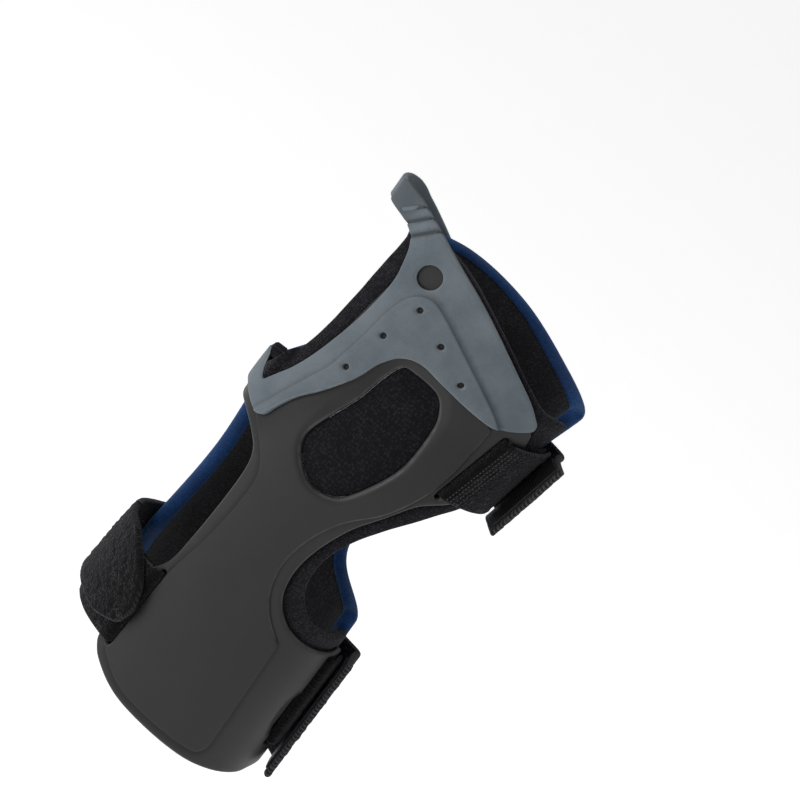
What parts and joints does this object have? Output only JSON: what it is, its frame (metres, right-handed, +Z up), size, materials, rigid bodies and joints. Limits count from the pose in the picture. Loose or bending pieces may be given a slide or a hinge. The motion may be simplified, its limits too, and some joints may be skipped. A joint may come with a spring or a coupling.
{
  "type": "wrist splint",
  "caption": "Cock-up wrist splint for the left hand: moulded palm shell with a rubbery palm overlay, padded liner and a swing-open back panel closed by hook-and-loop straps.",
  "frame": {"origin": "on the axis of the limb at the wrist crease", "axes": "+Z up the limb to the fingers, -Y the palm side, -X the thumb side"},
  "size_m": [0.0989, 0.064, 0.1824],
  "materials": {
    "shell_plastic": "satin, fine moulded grain",
    "overlay_rubber": "matt, slightly soft",
    "liner_fabric": "brushed knit on foam",
    "window_fabric": "brushed knit",
    "backing_foam": "knit-faced foam",
    "webbing": "loop-pile webbing",
    "hook_tape": "moulded hooks",
    "thread": "spun polyester",
    "stay_metal": "mill finish",
    "stay_dip": "dipped",
    "dorsal_fabric": "smooth stretch knit",
    "binding": "folded elastic edging with black selvedges",
    "mesh": "open knitted mesh"
  },
  "bodies": {
    "palm_half": {"palm_shell": "shell_plastic", "palm_overlay": "overlay_rubber", "liner_foam": "liner_fabric", "liner_backing": "backing_foam", "window_pad": "window_fabric", "palmar_stay": "stay_metal", "stay_tip_proximal": "stay_dip", "stay_tip_distal": "stay_dip", "distal_anchor": "webbing", "radial_anchor": "webbing", "proximal_anchor": "webbing", "anchor_stitching": "thread", "radial_strap_bend": "webbing"},
    "dorsal_panel": {"dorsal_foam": "backing_foam", "dorsal_face": "dorsal_fabric", "dorsal_binding": "binding", "dorsal_mesh": "mesh", "distal_strap": "webbing", "proximal_strap": "webbing", "radial_strap": "webbing", "panel_stitching": "thread", "web_strap_tail": "overlay_rubber", "web_landing": "webbing"},
    "distal_closure": {"distal_tab": "webbing", "distal_hook": "hook_tape"},
    "proximal_closure": {"proximal_tab": "webbing", "proximal_hook": "hook_tape"},
    "radial_closure": {"radial_tab": "webbing", "radial_hook": "hook_tape"},
    "web_closure": {"web_tab": "overlay_rubber", "web_hook": "hook_tape"}
  },
  "joints": [
    {"name": "dorsal_panel_swing", "type": "hinge", "parent": "palm_half", "child": "dorsal_panel", "pos_m": [-0.0465, 0.0035, 0.02], "axis": [0, 0, 1], "range_deg": [0, 100]},
    {"name": "distal_tab_peel", "type": "hinge", "parent": "dorsal_panel", "child": "distal_closure", "pos_m": [0.0435, 0.008, 0.05075], "axis": [0.1911, 0, 0.9816], "range_deg": [0, 110]},
    {"name": "proximal_tab_peel", "type": "hinge", "parent": "dorsal_panel", "child": "proximal_closure", "pos_m": [0.033, 0.008, -0.044], "axis": [0, 0, 1], "range_deg": [0, 110]},
    {"name": "radial_tab_peel", "type": "hinge", "parent": "palm_half", "child": "radial_closure", "pos_m": [-0.0487, -0.005, -0.038], "axis": [0, 0, -1], "range_deg": [0, 85]},
    {"name": "web_tab_peel", "type": "hinge", "parent": "dorsal_panel", "child": "web_closure", "pos_m": [-0.018, 0.0273, 0.085], "axis": [0.5664, 0, 0.8241], "range_deg": [0, 90]}
  ]
}
